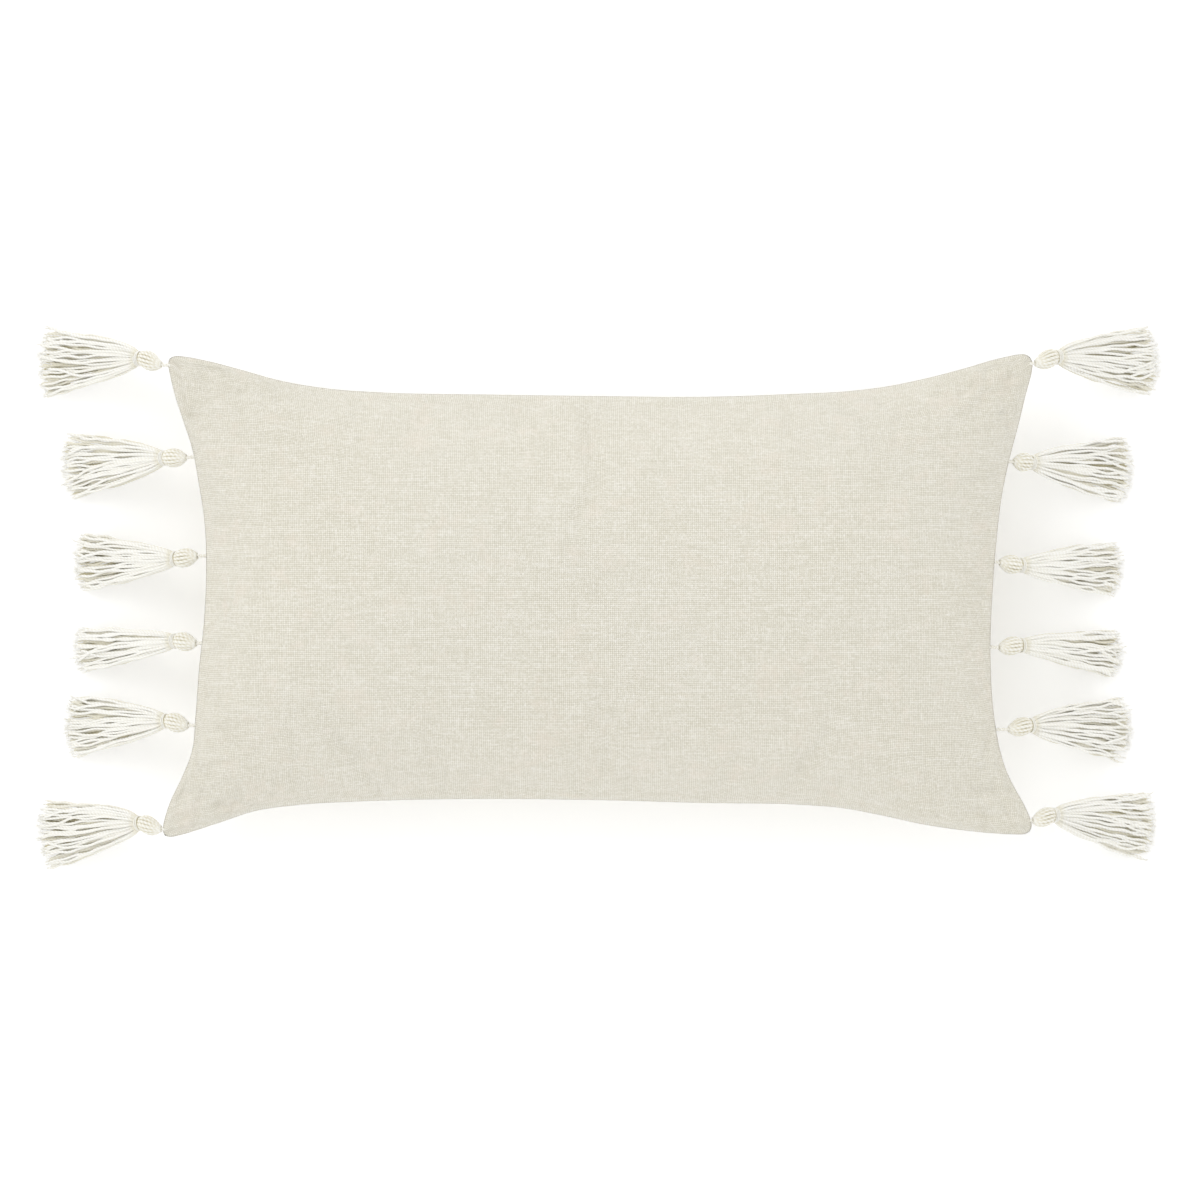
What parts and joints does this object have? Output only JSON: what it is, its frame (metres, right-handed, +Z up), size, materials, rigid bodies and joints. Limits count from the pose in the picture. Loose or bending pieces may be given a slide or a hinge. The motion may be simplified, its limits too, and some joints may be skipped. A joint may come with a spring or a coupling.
{
  "type": "throw pillow",
  "caption": "Rectangular knife-edge lumbar pillow in off-white woven fabric, with yarn tassels along both short sides and a concealed zip under one long seam.",
  "frame": {"origin": "on the surface that the pillow lies on, under the middle of the pillow with its tassels", "axes": "+X along the long sides, towards the right-hand tassels; +Y across, away from the zip; +Z up, out of the front panel"},
  "size_m": [0.7893, 0.38, 0.1481],
  "materials": {
    "cover_fabric": "matte",
    "insert_lining": "matte",
    "fibre_fill": "matte",
    "tassel_yarn": "matte",
    "tassel_cord": "matte",
    "tassel_wrap": "matte",
    "zip_tape": "matte",
    "zip_coil": "satin",
    "zip_metal": "satin"
  },
  "bodies": {
    "root": {"cover_front_panel": "cover_fabric", "cover_back_panel": "cover_fabric", "insert_casing_front": "insert_lining", "insert_casing_back": "insert_lining", "insert_fibre_fill": "fibre_fill", "zipper_chain": "zip_coil", "zipper_tape_front": "zip_tape", "zipper_tape_back": "zip_tape", "zipper_stop_left": "zip_metal", "zipper_stop_right": "zip_metal"},
    "zipper_slider_body": {"zipper_slider": "zip_metal"},
    "zipper_pull_body": {"zipper_pull_tab": "zip_metal"},
    "tassel_left_1_hanger": {"tassel_left_1_cord": "tassel_cord"},
    "tassel_left_1_body": {"tassel_left_1_yarn_bundle": "tassel_yarn", "tassel_left_1_neck_wrap": "tassel_wrap"},
    "tassel_left_2_hanger": {"tassel_left_2_cord": "tassel_cord"},
    "tassel_left_2_body": {"tassel_left_2_yarn_bundle": "tassel_yarn", "tassel_left_2_neck_wrap": "tassel_wrap"},
    "tassel_left_3_hanger": {"tassel_left_3_cord": "tassel_cord"},
    "tassel_left_3_body": {"tassel_left_3_yarn_bundle": "tassel_yarn", "tassel_left_3_neck_wrap": "tassel_wrap"},
    "tassel_left_4_hanger": {"tassel_left_4_cord": "tassel_cord"},
    "tassel_left_4_body": {"tassel_left_4_yarn_bundle": "tassel_yarn", "tassel_left_4_neck_wrap": "tassel_wrap"},
    "tassel_left_5_hanger": {"tassel_left_5_cord": "tassel_cord"},
    "tassel_left_5_body": {"tassel_left_5_yarn_bundle": "tassel_yarn", "tassel_left_5_neck_wrap": "tassel_wrap"},
    "tassel_left_6_hanger": {"tassel_left_6_cord": "tassel_cord"},
    "tassel_left_6_body": {"tassel_left_6_yarn_bundle": "tassel_yarn", "tassel_left_6_neck_wrap": "tassel_wrap"},
    "tassel_right_1_hanger": {"tassel_right_1_cord": "tassel_cord"},
    "tassel_right_1_body": {"tassel_right_1_yarn_bundle": "tassel_yarn", "tassel_right_1_neck_wrap": "tassel_wrap"},
    "tassel_right_2_hanger": {"tassel_right_2_cord": "tassel_cord"},
    "tassel_right_2_body": {"tassel_right_2_yarn_bundle": "tassel_yarn", "tassel_right_2_neck_wrap": "tassel_wrap"},
    "tassel_right_3_hanger": {"tassel_right_3_cord": "tassel_cord"},
    "tassel_right_3_body": {"tassel_right_3_yarn_bundle": "tassel_yarn", "tassel_right_3_neck_wrap": "tassel_wrap"},
    "tassel_right_4_hanger": {"tassel_right_4_cord": "tassel_cord"},
    "tassel_right_4_body": {"tassel_right_4_yarn_bundle": "tassel_yarn", "tassel_right_4_neck_wrap": "tassel_wrap"},
    "tassel_right_5_hanger": {"tassel_right_5_cord": "tassel_cord"},
    "tassel_right_5_body": {"tassel_right_5_yarn_bundle": "tassel_yarn", "tassel_right_5_neck_wrap": "tassel_wrap"},
    "tassel_right_6_hanger": {"tassel_right_6_cord": "tassel_cord"},
    "tassel_right_6_body": {"tassel_right_6_yarn_bundle": "tassel_yarn", "tassel_right_6_neck_wrap": "tassel_wrap"}
  },
  "joints": [
    {"name": "zipper_slide", "type": "slide", "parent": "root", "child": "zipper_slider_body", "axis": [1, 0, 0], "range_m": [0, 0.3142]},
    {"name": "zipper_pull_swing", "type": "hinge", "parent": "zipper_slider_body", "child": "zipper_pull_body", "pos_m": [-0.1571, -0.13932, 0.05], "axis": [-1, 0, 0], "range_deg": [-20, 120]},
    {"name": "tassel_left_1_lift", "type": "hinge", "parent": "root", "child": "tassel_left_1_hanger", "pos_m": [-0.30079, 0.16104, 0.062], "axis": [0, 1, 0], "range_deg": [0, 95]},
    {"name": "tassel_left_1_sway", "type": "hinge", "parent": "tassel_left_1_hanger", "child": "tassel_left_1_body", "pos_m": [-0.30542, 0.16119, 0.06006], "axis": [0, 0, 1], "range_deg": [-30, 10]},
    {"name": "tassel_left_2_lift", "type": "hinge", "parent": "root", "child": "tassel_left_2_hanger", "pos_m": [-0.28359, 0.09702, 0.062], "axis": [0, 1, 0], "range_deg": [0, 95]},
    {"name": "tassel_left_2_sway", "type": "hinge", "parent": "tassel_left_2_hanger", "child": "tassel_left_2_body", "pos_m": [-0.28821, 0.09672, 0.06006], "axis": [0, 0, 1], "range_deg": [-10, 10]},
    {"name": "tassel_left_3_lift", "type": "hinge", "parent": "root", "child": "tassel_left_3_hanger", "pos_m": [-0.27577, 0.02854, 0.062], "axis": [0, 1, 0], "range_deg": [0, 95]},
    {"name": "tassel_left_3_sway", "type": "hinge", "parent": "tassel_left_3_hanger", "child": "tassel_left_3_body", "pos_m": [-0.28039, 0.02829, 0.06006], "axis": [0, 0, 1], "range_deg": [-10, 10]},
    {"name": "tassel_left_4_lift", "type": "hinge", "parent": "root", "child": "tassel_left_4_hanger", "pos_m": [-0.27593, -0.03201, 0.062], "axis": [0, 1, 0], "range_deg": [0, 95]},
    {"name": "tassel_left_4_sway", "type": "hinge", "parent": "tassel_left_4_hanger", "child": "tassel_left_4_body", "pos_m": [-0.28055, -0.03226, 0.06006], "axis": [0, 0, 1], "range_deg": [-10, 10]},
    {"name": "tassel_left_5_lift", "type": "hinge", "parent": "root", "child": "tassel_left_5_hanger", "pos_m": [-0.28216, -0.0891, 0.062], "axis": [0, 1, 0], "range_deg": [0, 95]},
    {"name": "tassel_left_5_sway", "type": "hinge", "parent": "tassel_left_5_hanger", "child": "tassel_left_5_body", "pos_m": [-0.28679, -0.08915, 0.06006], "axis": [0, 0, 1], "range_deg": [-10, 10]},
    {"name": "tassel_left_6_lift", "type": "hinge", "parent": "root", "child": "tassel_left_6_hanger", "pos_m": [-0.30079, -0.16104, 0.062], "axis": [0, 1, 0], "range_deg": [0, 95]},
    {"name": "tassel_left_6_sway", "type": "hinge", "parent": "tassel_left_6_hanger", "child": "tassel_left_6_body", "pos_m": [-0.30541, -0.16134, 0.06006], "axis": [0, 0, 1], "range_deg": [-10, 30]},
    {"name": "tassel_right_1_lift", "type": "hinge", "parent": "root", "child": "tassel_right_1_hanger", "pos_m": [0.30114, 0.16203, 0.062], "axis": [0, -1, 0], "range_deg": [0, 95]},
    {"name": "tassel_right_1_sway", "type": "hinge", "parent": "tassel_right_1_hanger", "child": "tassel_right_1_body", "pos_m": [0.30577, 0.16218, 0.06006], "axis": [0, 0, 1], "range_deg": [-10, 30]},
    {"name": "tassel_right_2_lift", "type": "hinge", "parent": "root", "child": "tassel_right_2_hanger", "pos_m": [0.28304, 0.09405, 0.062], "axis": [0, -1, 0], "range_deg": [0, 95]},
    {"name": "tassel_right_2_sway", "type": "hinge", "parent": "tassel_right_2_hanger", "child": "tassel_right_2_body", "pos_m": [0.28766, 0.09375, 0.06006], "axis": [0, 0, 1], "range_deg": [-10, 10]},
    {"name": "tassel_right_3_lift", "type": "hinge", "parent": "root", "child": "tassel_right_3_hanger", "pos_m": [0.27559, 0.02409, 0.062], "axis": [0, -1, 0], "range_deg": [0, 95]},
    {"name": "tassel_right_3_sway", "type": "hinge", "parent": "tassel_right_3_hanger", "child": "tassel_right_3_body", "pos_m": [0.28021, 0.02384, 0.06006], "axis": [0, 0, 1], "range_deg": [-10, 10]},
    {"name": "tassel_right_4_lift", "type": "hinge", "parent": "root", "child": "tassel_right_4_hanger", "pos_m": [0.27609, -0.03498, 0.062], "axis": [0, -1, 0], "range_deg": [0, 95]},
    {"name": "tassel_right_4_sway", "type": "hinge", "parent": "tassel_right_4_hanger", "child": "tassel_right_4_body", "pos_m": [0.28071, -0.03523, 0.06006], "axis": [0, 0, 1], "range_deg": [-10, 10]},
    {"name": "tassel_right_5_lift", "type": "hinge", "parent": "root", "child": "tassel_right_5_hanger", "pos_m": [0.28268, -0.09207, 0.062], "axis": [0, -1, 0], "range_deg": [0, 95]},
    {"name": "tassel_right_5_sway", "type": "hinge", "parent": "tassel_right_5_hanger", "child": "tassel_right_5_body", "pos_m": [0.28731, -0.09212, 0.06006], "axis": [0, 0, 1], "range_deg": [-10, 10]},
    {"name": "tassel_right_6_lift", "type": "hinge", "parent": "root", "child": "tassel_right_6_hanger", "pos_m": [0.29887, -0.15543, 0.062], "axis": [0, -1, 0], "range_deg": [0, 95]},
    {"name": "tassel_right_6_sway", "type": "hinge", "parent": "tassel_right_6_hanger", "child": "tassel_right_6_body", "pos_m": [0.30349, -0.15573, 0.06006], "axis": [0, 0, 1], "range_deg": [-30, 10]}
  ]
}
